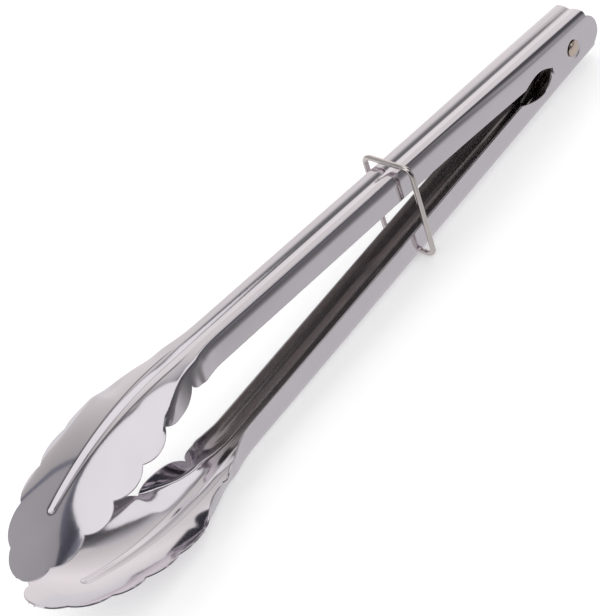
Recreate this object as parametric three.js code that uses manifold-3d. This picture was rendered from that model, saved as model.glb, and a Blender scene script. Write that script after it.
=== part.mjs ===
// Kitchen tongs, 400 mm long, in millimetres. +Z is up, +X points to the claws, +Y is the near side.
// Two pressed steel arms turn on a rivet, a torsion spring opens them and a wire ring locks them.
import * as THREE from "three";
import Module from "manifold-3d";

const wasm = await Module();
wasm.setup();

// Sheet, clearances and how far the tongs stand open
const sheet = 0.9;
const runningGap = 0.3;
const openAngle = THREE.MathUtils.degToRad(8.8);

// Handle: a channel whose back lies backHeight from the pivot, with a groove pressed along it. Its
// edges are folded round cornerRadius, and a softer shoulder leads on into the walls.
const channelWidth = 16;
const backHeight = 13.7;
const cornerRadius = 1.3;
const shoulderRadius = 7.6;
const edgeHeight = 0.4;
const grooveHalf = 3.5;
const grooveDepth = 0.8;
const wallEnd = 272;

// Claw: the back bends inward along an arc, and the sheet spreads into a dished leaf
const clawStart = 282;
const clawLength = 107.4;
const clawHalf = 25.5;
const bendStart = 286;
const bendRadius = 143;
const bendAngle = 0.63;
const dishRadius = 50;
const beadHalf = 3.8;
const beadEndHalf = 1.7;
const beadEnd = 361.5;

// Pivot end: each back stops at its own end, and round ears reach past it. The outer ears hang down
// by outerEarDrop. They spread by earRoom more than a wall and its gap, so that the inner ears also
// clear the outer arm's shoulders.
const outerBackEnd = 12.6;
const innerBackEnd = 18;
const outerEarRadius = 12;
const outerEarDrop = 8.6;
const outerEarCentre = 8.2;
const innerEarRadius = 8;
const innerEarCentre = 10.3;
const outerKeyholeStart = 18.4;
const outerKeyholeEnd = 40.5;
const outerKeyholeRise = 3.6;
const innerKeyholeStart = 17.4;
const innerKeyholeEnd = 44;
const innerKeyholeRise = 6.6;
const flareStart = 20;
const flareEnd = 110;
const earRoom = 0.4;

// Rivet, and the dished seats that its heads lie in
const rivetRadius = 2.4;
const rivetHeadRadius = 4.1;
const rivetHeadHeight = 1;
const seatDepth = 1.4;
const seatFloorRadius = 4.6;
const seatRimRadius = 6;

// Torsion spring round the rivet
const springWire = 1.4;
const springRadius = 4.4;
const springPitch = 1.95;
const springTurns = 3;
const springLeg = 34;

// Lock ring: round wire bent to a rectangle, standing at ringPlace along the lower arm, and higher
// by ringPlay than the two arms need
const ringWire = 2.6;
const ringWidth = 26.4;
const ringPlay = 1.2;
const ringCorner = 4;
const ringPlace = 131;
const ringLean = THREE.MathUtils.degToRad(2.1);

// How far a cutting solid runs past what it cuts, and how close two corners count as one
const cutOverrun = 3;
const weldDistance = 0.00001;

// Claw outline in the flat sheet: five lobes a side between these notches, and one at the tip
const notchPlaceShares = [0, 0.233, 0.41, 0.588, 0.749, 0.913];
const notchHalfShares = [0.62, 0.805, 0.911, 0.847, 0.731, 0.443];
const lobeBulgeShares = [0.22, 0.2, 0.193, 0.243, 0.195];

// How the section changes along the claw: the fold between back and wall drifts outward and opens
// out, while the back inside it and the rim outside it take on curves of their own
const formPlaceShares = [-0.186, -0.112, -0.06, 0, 0.056, 0.121, 0.186, 0.251, 0.41, 0.587, 0.754, 1];
const backCurveShares = [0, 0, 0.647, 1.037, 1.036, 1.226, 1.326, 1.064, 1.079, 1.028, 0.746, 0.41];
const rimCurveShares = [0, 0, 0.206, 0.442, 0.675, 0.718, 0.728, 0.551, 0.542, 1.035, 1.543, 1.89];
const foldDriftShares = [0, 0, 0.087, 0.117, 0.188, 0.308, 0.451, 0.551, 0.474, 0.349, 0.241, 0.123];
const foldArcShares = [0.667, 0.667, 1.474, 1.389, 1.449, 1.735, 1.9, 1.958, 1.958, 1.958, 1.958, 1.958];
const foldTurnShares = [0.667, 0.667, 0.772, 0.601, 0.61, 0.623, 0.565, 0.253, 0.045, 0, 0, 0];
const shoulderTurnShares = [0.333, 0.333, 0, 0, 0, 0, 0, 0, 0, 0, 0, 0];

// The most of a half section that the groove fills, and where the fold's facets lie at the latest
const grooveSectionShare = 0.3;
const foldFacetStartShare = 0.55;
const foldFacetEndShare = 0.8;
const shoulderFacetEndShare = 0.92;

// Keyhole arch: below 1 its crown lies nearer the ear. Ear and neck have rounded corners.
const outerArchPower = 1;
const innerArchPower = 0.69;
const earPower = 2.5;
const neckPower = 2.2;

// Facets, and the turns of the spring's coil are cut into coilSteps each
const grooveSteps = 2;
const panelSteps = 2;
const foldSteps = 3;
const shoulderSteps = 2;
const wallSteps = 1;
const flareSteps = 3;
const neckSteps = 4;
const lobeSteps = 5;
const tipSteps = 5;
const earSteps = 5;
const archSteps = 6;
const roundSegments = 32;
const domeSteps = 5;
const coilSteps = 8;
const springLegSteps = 4;
const springSides = 5;
const ringCornerSteps = 5;
const ringSides = 12;

const wallTurn = Math.PI / 2;

const armSteel = { color: 0xb9b6bb, roughness: 0.16, metalness: 1 };
const wireSteel = { color: 0xb5aea6, roughness: 0.2, metalness: 1 };
const rivetSteel = { color: 0xc4b8a4, roughness: 0.18, metalness: 1 };

function mix(a, b, t) {
  return a + (b - a) * t;
}

function ease(t) {
  const c = THREE.MathUtils.clamp(t, 0, 1);
  return c * c * (3 - 2 * c);
}

// The value at a place between the rows of a table, on a smooth curve through them
function along(places, values, place) {
  const last = places.length - 1;
  const at = THREE.MathUtils.clamp(place, places[0], places[last]);
  const row = Math.max(0, places.findIndex((start) => at <= start) - 1);
  const rise = (i) => (values[i + 1] - values[i]) / (places[i + 1] - places[i]);
  const slope = (i) => {
    if (i === 0 || i === last || rise(i - 1) * rise(i) <= 0) {
      return 0;
    }
    return 2 * rise(i - 1) * rise(i) / (rise(i - 1) + rise(i));
  };
  const step = places[row + 1] - places[row];
  const t = (at - places[row]) / step;
  const sway = t * (1 - t) ** 2 * slope(row) - t * t * (1 - t) * slope(row + 1);
  return mix(values[row], values[row + 1], ease(t)) + step * sway;
}

function clawShare(s) {
  return (s - clawStart) / clawLength;
}

// Sizes that differ between the outer arm, whose ears lie outside, and the inner arm
const outerArm = {
  flare: sheet + runningGap + earRoom,
  backEnd: outerBackEnd,
  earRadius: outerEarRadius,
  earDrop: outerEarDrop,
  earCentre: outerEarCentre,
  keyholeStart: outerKeyholeStart,
  keyholeEnd: outerKeyholeEnd,
  keyholeRise: outerKeyholeRise,
  archPower: outerArchPower,
};
const innerArm = {
  flare: 0,
  backEnd: innerBackEnd,
  earRadius: innerEarRadius,
  earDrop: innerEarRadius,
  earCentre: innerEarCentre,
  keyholeStart: innerKeyholeStart,
  keyholeEnd: innerKeyholeEnd,
  keyholeRise: innerKeyholeRise,
  archPower: innerArchPower,
};

// The outer arm's walls flare at the pivot to take the inner arm between its ears
function flareAt(s, arm) {
  return arm.flare * (1 - ease((s - flareStart) / (flareEnd - flareStart)));
}

// The middle line of the back: straight, then an arc inward, then straight to the tip
function spine(s) {
  const turn = THREE.MathUtils.clamp((s - bendStart) / bendRadius, 0, bendAngle);
  const beyond = Math.max(0, s - bendStart - bendRadius * bendAngle);
  const x = Math.min(s, bendStart) + bendRadius * Math.sin(turn) + beyond * Math.cos(turn);
  const z = backHeight - bendRadius * (1 - Math.cos(turn)) - beyond * Math.sin(turn);
  return { x, z, turn };
}

// Half the claw's width in the flat sheet between two notches: a lobe with a round edge
function lobeHalf(s, from, to, bulgeShare) {
  const length = Math.hypot(to.s - from.s, to.half - from.half);
  const bulge = bulgeShare * length;
  const radius = (length * length / 4 + bulge * bulge) / (2 * bulge);
  const inward = radius - bulge;
  const centreS = (from.s + to.s) / 2 + inward * (to.half - from.half) / length;
  const centreHalf = (from.half + to.half) / 2 - inward * (to.s - from.s) / length;
  return centreHalf + Math.sqrt(Math.max(0, radius * radius - (s - centreS) ** 2));
}

const notches = notchPlaceShares.map((share, i) => ({
  s: clawStart + share * clawLength,
  half: notchHalfShares[i] * clawHalf,
}));
const lastNotch = notches[notches.length - 1];
const clawTip = clawStart + clawLength;
const tipReach = clawTip - lastNotch.s;
const tipRadius = (lastNotch.half ** 2 + tipReach ** 2) / (2 * tipReach);

// Height of the walls' free edge over the pivot line: ear, keyhole arch, then straight
function freeEdge(s, arm) {
  if (s < arm.keyholeStart) {
    const t = Math.max(0, s) / arm.keyholeStart;
    return -arm.earDrop * (1 - t ** earPower) ** (1 / earPower);
  }
  const t = Math.min(1, (s - arm.keyholeStart) / (arm.keyholeEnd - arm.keyholeStart));
  return mix(0, edgeHeight, t) + arm.keyholeRise * Math.sin(Math.PI * t ** arm.archPower);
}

// How far a handle's corner, its fold and its shoulder, reaches across the back and down the wall
const handleFold = wallTurn * foldTurnShares[0];
const handleShoulder = wallTurn * shoulderTurnShares[0];
const cornerAcross = mix(shoulderRadius, cornerRadius, Math.sin(handleFold));
const cornerDown = mix(cornerRadius, shoulderRadius, Math.cos(handleFold));
const shoulderLength = shoulderRadius * handleShoulder;
const cornerStart = channelWidth / 2 - cornerAcross;

// Radius of the fold. It grows with the flare, so that the back itself stays as wide everywhere.
function foldRadius(s, arm) {
  return cornerRadius + flareAt(s, arm) / Math.sin(handleFold);
}

// Sheet width from the middle to the edge
function reach(s, arm) {
  const radius = foldRadius(s, arm);
  const corner = radius * handleFold + shoulderLength;
  const cornerHeight = cornerDown + (radius - cornerRadius) * (1 - Math.cos(handleFold));
  const down = backHeight - cornerHeight - freeEdge(Math.min(s, wallEnd), arm);
  const wall = cornerStart + corner + down;
  if (s <= wallEnd) {
    return wall;
  }
  if (s <= notches[0].s) {
    const t = (s - wallEnd) / (notches[0].s - wallEnd);
    return mix(notches[0].half, wall, (1 - t ** neckPower) ** (1 / neckPower));
  }
  if (s <= lastNotch.s) {
    const next = notches.findIndex((notch) => s <= notch.s);
    return lobeHalf(s, notches[next - 1], notches[next], lobeBulgeShares[next - 1]);
  }
  return Math.sqrt(tipRadius ** 2 - (s - clawTip + tipRadius) ** 2);
}

// Where the fold between back and wall starts and how long it is, measured across the sheet
function foldSpan(s, arm) {
  const drift = clawHalf * along(formPlaceShares, foldDriftShares, clawShare(s));
  const arc = foldRadius(s, arm) * wallTurn * along(formPlaceShares, foldArcShares, clawShare(s));
  return { start: cornerStart + drift, arc };
}

// Width of the groove from its middle: narrow along the handle, wide at the neck, tapering in the claw
function grooveWidth(s) {
  const widening = ease((clawShare(s) - formPlaceShares[0]) / -formPlaceShares[0]);
  const tapering = ease((s - clawStart) / (beadEnd - clawStart));
  return mix(grooveHalf, mix(beadHalf, beadEndHalf, tapering), widening);
}

// Depth of the groove: a crease between two flanks, which ends in the claw with a round end
function grooveAt(s, across) {
  const end = THREE.MathUtils.clamp((beadEnd - s) / beadEndHalf, 0, 1);
  const width = grooveWidth(s) * Math.sqrt(1 - (1 - end) ** 2);
  const inward = across < width ? 1 - across / width : 0;
  return grooveDepth * inward ** 2 * (2 - inward);
}

// Moves a point of the section along a stretch of steady curvature
function bendAlong(point, length, curve) {
  const turn = point.turn + curve * length;
  if (curve === 0) {
    point.y += length * Math.cos(turn);
    point.z -= length * Math.sin(turn);
  } else {
    point.y += (Math.sin(turn) - Math.sin(point.turn)) / curve;
    point.z += (Math.cos(turn) - Math.cos(point.turn)) / curve;
  }
  point.turn = turn;
}

// A point of the outside of an arm: s along its back, across the sheet from the middle
function armPoint(s, across, arm) {
  const backCurve = along(formPlaceShares, backCurveShares, clawShare(s)) / dishRadius;
  const rimCurve = along(formPlaceShares, rimCurveShares, clawShare(s)) / dishRadius;
  const foldTurn = wallTurn * along(formPlaceShares, foldTurnShares, clawShare(s));
  const shoulderTurn = wallTurn * along(formPlaceShares, shoulderTurnShares, clawShare(s));
  const fold = foldSpan(s, arm);
  const foldCurve = (backCurve + rimCurve) / 2 + foldTurn / fold.arc;
  const away = Math.abs(across);
  const point = { y: 0, z: 0, turn: 0 };
  bendAlong(point, Math.min(away, fold.start), backCurve);
  bendAlong(point, THREE.MathUtils.clamp(away - fold.start, 0, fold.arc), foldCurve);
  const beyond = Math.max(0, away - fold.start - fold.arc);
  bendAlong(point, Math.min(beyond, shoulderLength), rimCurve + shoulderTurn / shoulderLength);
  bendAlong(point, Math.max(0, beyond - shoulderLength), rimCurve);
  const back = spine(s);
  const depth = point.z - grooveAt(s, away);
  return new THREE.Vector3(
    back.x + depth * Math.sin(back.turn),
    Math.sign(across) * point.y,
    back.z + depth * Math.cos(back.turn),
  );
}

// Places across half a section, from the middle to the edge: groove, panel, fold, shoulder, wall
function acrossPlaces(s, half, arm) {
  const fold = foldSpan(s, arm);
  const groove = Math.min(grooveWidth(s), grooveSectionShare * half);
  const start = Math.min(fold.start, foldFacetStartShare * half);
  const end = Math.min(fold.start + fold.arc, foldFacetEndShare * half);
  const shoulder = Math.min(end + shoulderLength, shoulderFacetEndShare * half);
  const marks = [0, groove, start, end, shoulder, half];
  const steps = [grooveSteps, panelSteps, foldSteps, shoulderSteps, wallSteps];
  const places = [0];
  steps.forEach((count, i) => {
    for (let k = 1; k <= count; k++) {
      places.push(mix(marks[i], marks[i + 1], k / count));
    }
  });
  return places;
}

// Stations along an arm, closer where its outline or its section changes
function stationsOf(arm) {
  const rear = arm.earCentre + arm.earRadius + cutOverrun;
  const stations = [-rear, -arm.earCentre, 0];
  for (let k = 1; k <= earSteps; k++) {
    stations.push(arm.keyholeStart * (1 - (1 - k / earSteps) ** 2));
  }
  for (let k = 1; k <= archSteps; k++) {
    stations.push(mix(arm.keyholeStart, arm.keyholeEnd, k / archSteps));
  }
  for (let k = 1; k <= flareSteps; k++) {
    stations.push(mix(arm.keyholeEnd, flareEnd, k / flareSteps));
  }
  const formStart = clawStart + formPlaceShares[0] * clawLength;
  stations.push(formStart, (formStart + wallEnd) / 2, wallEnd, bendStart);
  for (let k = 1; k <= neckSteps; k++) {
    stations.push(mix(wallEnd, clawStart, 1 - (1 - k / neckSteps) ** 2));
  }
  for (let i = 1; i < notches.length; i++) {
    for (let k = 1; k <= lobeSteps; k++) {
      stations.push(mix(notches[i - 1].s, notches[i].s, k / lobeSteps));
    }
  }
  stations.push(beadEnd - beadEndHalf, beadEnd);
  for (let k = 1; k < tipSteps; k++) {
    const start = Math.asin(lastNotch.half / tipRadius);
    stations.push(clawTip - tipRadius * (1 - Math.cos(start * (1 - k / tipSteps))));
  }
  return stations.sort((a, b) => a - b);
}

// Normal of a grid of points at row i, column j, from its neighbours
function gridNormal(grid, i, j) {
  const before = grid[Math.max(0, i - 1)][j];
  const after = grid[Math.min(grid.length - 1, i + 1)][j];
  const left = grid[i][Math.max(0, j - 1)];
  const right = grid[i][Math.min(grid[i].length - 1, j + 1)];
  const normal = new THREE.Vector3().subVectors(after, before);
  return normal.cross(new THREE.Vector3().subVectors(right, left)).normalize();
}

// Closes a grid of points and its offset into a shell of the sheet's thickness
function shellGeometry(grid, thickness) {
  const rows = grid.length;
  const columns = grid[0].length;
  const outside = grid.flat();
  const inside = [];
  for (let i = 0; i < rows; i++) {
    for (let j = 0; j < columns; j++) {
      inside.push(grid[i][j].clone().addScaledVector(gridNormal(grid, i, j), -thickness));
    }
  }
  const positions = [...outside, ...inside].flatMap((p) => [p.x, p.y, p.z]);
  const index = [];
  const inner = rows * columns;
  const quad = (a, b, c, d) => index.push(a, b, c, a, c, d);
  for (let i = 0; i + 1 < rows; i++) {
    for (let j = 0; j + 1 < columns; j++) {
      const a = i * columns + j;
      quad(a, a + columns, a + columns + 1, a + 1);
      quad(inner + a, inner + a + 1, inner + a + columns + 1, inner + a + columns);
    }
  }
  for (let i = 0; i + 1 < rows; i++) {
    const a = i * columns;
    const b = a + columns - 1;
    quad(a, inner + a, inner + a + columns, a + columns);
    quad(b, b + columns, inner + b + columns, inner + b);
  }
  for (let j = 0; j + 1 < columns; j++) {
    const end = (rows - 1) * columns + j;
    quad(j, j + 1, inner + j + 1, inner + j);
    quad(end, inner + end, inner + end + 1, end + 1);
  }
  const geometry = new THREE.BufferGeometry();
  geometry.setAttribute("position", new THREE.Float32BufferAttribute(positions, 3));
  geometry.setIndex(index);
  return geometry;
}

// Corners that lie together become one, as the boolean library needs
function toManifold(geometry) {
  const position = geometry.getAttribute("position");
  const seen = new Map();
  const vertices = [];
  const shared = [];
  for (let i = 0; i < position.count; i++) {
    const corner = [position.getX(i), position.getY(i), position.getZ(i)];
    const key = corner.map((value) => Math.round(value / weldDistance)).join(" ");
    if (!seen.has(key)) {
      seen.set(key, seen.size);
      vertices.push(...corner);
    }
    shared.push(seen.get(key));
  }
  const corners = geometry.index ? Array.from(geometry.index.array, (i) => shared[i]) : shared;
  const triangles = [];
  for (let i = 0; i < corners.length; i += 3) {
    const [a, b, c] = corners.slice(i, i + 3);
    if (a !== b && b !== c && c !== a) {
      triangles.push(a, b, c);
    }
  }
  const vertProperties = new Float32Array(vertices);
  const triVerts = new Uint32Array(triangles);
  return new wasm.Manifold(new wasm.Mesh({ numProp: 3, vertProperties, triVerts }));
}

function fromManifold(solid) {
  const { vertProperties, triVerts } = solid.getMesh();
  const geometry = new THREE.BufferGeometry();
  geometry.setAttribute("position", new THREE.Float32BufferAttribute(vertProperties, 3));
  geometry.setIndex(Array.from(triVerts));
  return geometry.toNonIndexed();
}

// A turned piece whose axis lies across the arm, along Y
function turnedAcross(profile) {
  const points = profile.map(([radius, y]) => new THREE.Vector2(radius, y));
  return new THREE.LatheGeometry(points, roundSegments);
}

// What trims the rear of an arm: everything behind the round ears and the end of the back
function rearWaste(arm) {
  const far = arm.earCentre + arm.earRadius + 2 * cutOverrun;
  const side = backHeight + 2 * cutOverrun;
  const onArc = Math.acos((arm.backEnd - arm.earCentre) / arm.earRadius);
  const shape = new THREE.Shape();
  shape.moveTo(-far, side);
  shape.lineTo(-far, -side);
  shape.lineTo(-arm.earCentre, -side);
  shape.lineTo(-arm.earCentre, -arm.earDrop);
  shape.absellipse(-arm.earCentre, 0, arm.earRadius, arm.earDrop, -Math.PI / 2, -Math.PI, true);
  shape.absarc(-arm.earCentre, 0, arm.earRadius, Math.PI, Math.PI - onArc, true);
  shape.lineTo(-arm.backEnd, side);
  const depth = channelWidth + 2 * (arm.flare + cutOverrun);
  const steps = { bevelEnabled: false, curveSegments: roundSegments / 2 };
  const waste = new THREE.ExtrudeGeometry(shape, { depth, ...steps });
  waste.rotateX(Math.PI / 2);
  waste.translate(0, depth / 2, 0);
  return waste;
}

// A dished seat pressed into an ear round the rivet, for the wall whose outside is at y
function seatGeometry(y) {
  const rimEdge = seatRimRadius + sheet;
  const bore = rivetRadius + runningGap;
  return turnedAcross([
    [bore, y - seatDepth],
    [bore, y - seatDepth - sheet],
    [seatFloorRadius, y - seatDepth - sheet],
    [seatRimRadius, y - sheet],
    [rimEdge, y - sheet],
    [rimEdge, y],
    [seatRimRadius, y],
    [seatFloorRadius, y - seatDepth],
    [bore, y - seatDepth],
  ]);
}

// One arm, with its back on the +Z side of the pivot
function armGeometry(arm) {
  const grid = stationsOf(arm).map((s) => {
    const half = reach(s, arm);
    const places = acrossPlaces(s, half, arm);
    const all = [...places.slice(1).reverse().map((place) => -place), ...places];
    return all.map((across) => armPoint(s, across, arm));
  });
  let solid = toManifold(shellGeometry(grid, sheet)).subtract(toManifold(rearWaste(arm)));
  const face = channelWidth / 2 + arm.flare;
  const hole = seatRimRadius + sheet / 2;
  const opening = new THREE.CylinderGeometry(hole, hole, 2 * face + cutOverrun, roundSegments);
  solid = solid.subtract(toManifold(opening));
  const seat = toManifold(seatGeometry(face));
  const farSeat = toManifold(seatGeometry(face).rotateX(Math.PI));
  return fromManifold(solid.add(seat).add(farSeat));
}

function rivetGeometry() {
  const headSeat = channelWidth / 2 + outerArm.flare - seatDepth + runningGap;
  const domeRadius = (rivetHeadRadius ** 2 + rivetHeadHeight ** 2) / (2 * rivetHeadHeight);
  const profile = [[rivetRadius, 0], [rivetRadius, headSeat], [rivetHeadRadius, headSeat]];
  for (let k = 1; k < domeSteps; k++) {
    const radius = rivetHeadRadius * (1 - k / domeSteps);
    const drop = domeRadius - Math.sqrt(domeRadius ** 2 - radius ** 2);
    profile.push([radius, headSeat + rivetHeadHeight - drop]);
  }
  profile.push([0, headSeat + rivetHeadHeight]);
  const mirrored = profile.slice(1).map(([radius, y]) => [radius, -y]);
  return turnedAcross([...mirrored.reverse(), ...profile]);
}

// A round wire along a row of points, with closed ends, or joined to itself as a loop
function wireGeometry(points, radius, sides, loop) {
  const count = points.length;
  const positions = [];
  const index = [];
  let normal = new THREE.Vector3();
  points.forEach((point, i) => {
    const before = points[loop ? (i + count - 1) % count : Math.max(0, i - 1)];
    const after = points[loop ? (i + 1) % count : Math.min(count - 1, i + 1)];
    const tangent = new THREE.Vector3().subVectors(after, before).normalize();
    if (i === 0) {
      normal.crossVectors(tangent, new THREE.Vector3(1, 0, 0));
      if (normal.length() < Math.SQRT1_2) {
        normal.crossVectors(tangent, new THREE.Vector3(0, 1, 0));
      }
    }
    normal = normal.clone().addScaledVector(tangent, -normal.dot(tangent)).normalize();
    const side = new THREE.Vector3().crossVectors(tangent, normal);
    for (let k = 0; k < sides; k++) {
      const angle = 2 * Math.PI * k / sides;
      const corner = point.clone().addScaledVector(normal, radius * Math.cos(angle));
      corner.addScaledVector(side, radius * Math.sin(angle));
      positions.push(corner.x, corner.y, corner.z);
    }
  });
  const spans = loop ? count : count - 1;
  for (let i = 0; i < spans; i++) {
    for (let k = 0; k < sides; k++) {
      const a = i * sides + k;
      const b = i * sides + (k + 1) % sides;
      const c = ((i + 1) % count) * sides + (k + 1) % sides;
      const d = ((i + 1) % count) * sides + k;
      index.push(a, b, c, a, c, d);
    }
  }
  if (!loop) {
    const end = (count - 1) * sides;
    for (let k = 1; k + 1 < sides; k++) {
      index.push(0, k + 1, k, end, end + k, end + k + 1);
    }
  }
  const geometry = new THREE.BufferGeometry();
  geometry.setAttribute("position", new THREE.Float32BufferAttribute(positions, 3));
  geometry.setIndex(index);
  return geometry.toNonIndexed();
}

// Angle at which a spring leg leaves its coil to end just inside the back of its arm
function legAngle() {
  const height = backHeight - sheet - runningGap - springWire / 2;
  return Math.asin(height / Math.hypot(springLeg, springRadius)) - Math.atan2(springRadius, springLeg);
}

// Middle line of the torsion spring: a leg on the lower arm, the coil, a leg on the upper arm
function springPoints() {
  const lowerTurn = legAngle();
  const upperTurn = springTurns * 2 * Math.PI + Math.PI - legAngle() - openAngle;
  const width = springPitch * (upperTurn - lowerTurn) / (2 * Math.PI);
  const steps = Math.round(coilSteps * (upperTurn - lowerTurn) / (2 * Math.PI));
  const onCoil = (turn) => new THREE.Vector3(
    -springRadius * Math.sin(turn),
    springPitch * (turn - lowerTurn) / (2 * Math.PI) - width / 2,
    -springRadius * Math.cos(turn),
  );
  const heading = (turn) => new THREE.Vector3(-Math.cos(turn), 0, Math.sin(turn));
  const points = [];
  for (let k = springLegSteps; k > 0; k--) {
    const back = -springLeg * k / springLegSteps;
    points.push(onCoil(lowerTurn).addScaledVector(heading(lowerTurn), back));
  }
  for (let k = 0; k <= steps; k++) {
    points.push(onCoil(mix(lowerTurn, upperTurn, k / steps)));
  }
  for (let k = 1; k <= springLegSteps; k++) {
    const on = springLeg * k / springLegSteps;
    points.push(onCoil(upperTurn).addScaledVector(heading(upperTurn), on));
  }
  return points;
}

// Least gap of the spring's wire to itself, between stretches at least half a curl apart
function leastSelfGap(points) {
  let least = Infinity;
  const nearest = new THREE.Vector3();
  for (let i = 0; i + 1 < points.length; i++) {
    for (let j = i + coilSteps / 2; j + 1 < points.length; j++) {
      const stretch = new THREE.Line3(points[j], points[j + 1]);
      for (let k = 0; k <= coilSteps; k++) {
        const on = points[i].clone().lerp(points[i + 1], k / coilSteps);
        stretch.closestPointToPoint(on, true, nearest);
        least = Math.min(least, on.distanceTo(nearest) - springWire);
      }
    }
  }
  return least;
}

// The ring clears the lower back by the running gap, and the upper back by the play as well
function ringHeight() {
  const offBack = backHeight + runningGap + ringWire / 2;
  const rise = offBack * (1 + Math.cos(openAngle)) + ringPlace * Math.sin(openAngle);
  return rise / Math.cos(openAngle - ringLean) + ringPlay;
}

function ringPoints() {
  const height = ringHeight();
  const points = [];
  const corners = [[1, 0], [1, 1], [-1, 1], [-1, 0]];
  corners.forEach(([side, level], i) => {
    const centreY = side * (ringWidth / 2 - ringCorner);
    const centreZ = level ? height - ringCorner : ringCorner;
    for (let k = 0; k <= ringCornerSteps; k++) {
      const angle = (i - 1 + k / ringCornerSteps) * Math.PI / 2;
      points.push(new THREE.Vector3(
        0,
        centreY + ringCorner * Math.cos(angle),
        centreZ + ringCorner * Math.sin(angle),
      ));
    }
  });
  return points;
}

// The tongs stand on the ring's lower wire and on the neck of the lower arm
function restTilt() {
  const span = bendStart - ringPlace;
  const drop = runningGap + ringWire / 2;
  return Math.asin(ringWire / 2 / Math.hypot(span, drop)) + Math.atan2(drop, span);
}

// Adds a piece under its own name, with a material of its own
function addPiece(parent, name, geometry, look) {
  geometry.computeVertexNormals();
  const mesh = new THREE.Mesh(geometry, new THREE.MeshStandardMaterial(look));
  mesh.name = name;
  parent.add(mesh);
  return mesh;
}

const tongs = new THREE.Group();
const onPivot = new THREE.Group();
onPivot.rotation.y = restTilt();
tongs.add(onPivot);

const lowerArm = addPiece(onPivot, "lower_arm", armGeometry(innerArm), armSteel);
lowerArm.rotation.x = Math.PI;

const upperArm = addPiece(onPivot, "upper_arm", armGeometry(outerArm), armSteel);
upperArm.rotation.y = -openAngle;

addPiece(onPivot, "pivot_rivet", rivetGeometry(), rivetSteel);

const springLine = springPoints();
const springTube = wireGeometry(springLine, springWire / 2, springSides, false);
addPiece(onPivot, "torsion_spring", springTube, wireSteel);
console.log("least gap of the torsion spring to itself", leastSelfGap(springLine).toFixed(2));

const ringTube = wireGeometry(ringPoints(), ringWire / 2, ringSides, true);
const lockRing = addPiece(onPivot, "lock_ring", ringTube, wireSteel);
lockRing.position.set(ringPlace, 0, -backHeight - runningGap - ringWire / 2);
lockRing.rotation.y = -ringLean;

// The origin is the middle of the footprint, on the surface that the tongs stand on
tongs.updateMatrixWorld(true);
const box = new THREE.Box3().setFromObject(tongs, true);
tongs.position.set(-(box.min.x + box.max.x) / 2, -(box.min.y + box.max.y) / 2, -box.min.z);

export default tongs;
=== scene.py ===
import math

import bpy
import numpy as np
from mathutils import Euler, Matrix
from mathutils.kdtree import KDTree


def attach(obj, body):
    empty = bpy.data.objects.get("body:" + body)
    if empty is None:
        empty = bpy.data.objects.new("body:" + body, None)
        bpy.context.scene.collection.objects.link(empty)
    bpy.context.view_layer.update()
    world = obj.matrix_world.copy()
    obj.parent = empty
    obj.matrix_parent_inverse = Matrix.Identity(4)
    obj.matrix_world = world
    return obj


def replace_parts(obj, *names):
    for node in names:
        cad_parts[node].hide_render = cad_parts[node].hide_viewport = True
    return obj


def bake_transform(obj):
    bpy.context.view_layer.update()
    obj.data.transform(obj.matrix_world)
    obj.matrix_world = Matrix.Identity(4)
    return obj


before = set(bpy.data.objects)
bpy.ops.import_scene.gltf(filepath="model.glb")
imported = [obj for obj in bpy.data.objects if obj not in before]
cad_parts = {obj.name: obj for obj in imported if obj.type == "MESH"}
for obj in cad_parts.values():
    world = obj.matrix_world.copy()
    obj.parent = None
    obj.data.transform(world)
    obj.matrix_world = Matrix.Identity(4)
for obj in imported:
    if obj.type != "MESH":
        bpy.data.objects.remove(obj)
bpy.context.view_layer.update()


# Camera: a long lens at the photograph's angle, above the claws and to the near side of the tongs,
# with the handles running away to the upper right.
camera_lens = bpy.data.cameras.new("camera")
camera_lens.lens = 118.77
camera_lens.sensor_width = 36
camera = bpy.data.objects.new("camera", camera_lens)
camera.location = (0.417368, 0.515642, 0.631617)
camera.rotation_euler = Euler([math.radians(a) for a in (45.30363, 15.15264, 128.11977)], "XYZ")
bpy.context.scene.collection.objects.link(camera)
bpy.context.scene.camera = camera
bpy.context.scene.view_settings.view_transform = "Standard"


# Table: a plain pale matt board under the tongs, large enough to fill the picture. It is seen a little
# whiter than it is, and it keeps the soft shadow of the tongs.
TABLE_HALF = 4.0
TABLE_COLOUR = (0.92, 0.92, 0.92)
TABLE_LIFT = 0.24


def shown_mesh(name, vertices, faces):
    """A mesh object of that name, linked to the scene."""
    mesh = bpy.data.meshes.new(name)
    mesh.from_pydata(vertices, [], faces)
    mesh.update()
    piece = bpy.data.objects.new(name, mesh)
    bpy.context.scene.collection.objects.link(piece)
    return piece


corners = [(x * TABLE_HALF, y * TABLE_HALF, 0) for x, y in ((-1, -1), (1, -1), (1, 1), (-1, 1))]
table = shown_mesh("table", corners, [(0, 1, 2, 3)])
table_paint = bpy.data.materials.new("table")
table_paint.use_nodes = True
nodes, links = table_paint.node_tree.nodes, table_paint.node_tree.links
shader = nodes["Principled BSDF"]
shader.inputs["Base Color"].default_value = (*TABLE_COLOUR, 1)
shader.inputs["Roughness"].default_value = 0.9
shader.inputs["Specular IOR Level"].default_value = 0.2
shader.inputs["Emission Color"].default_value = (1, 1, 1, 1)
seen = nodes.new("ShaderNodeLightPath")
lifted = nodes.new("ShaderNodeMath")
lifted.operation = "MULTIPLY"
lifted.inputs[1].default_value = TABLE_LIFT
links.new(seen.outputs["Is Camera Ray"], lifted.inputs[0])
links.new(lifted.outputs[0], shader.inputs["Emission Strength"])
table.data.materials.append(table_paint)


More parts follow.
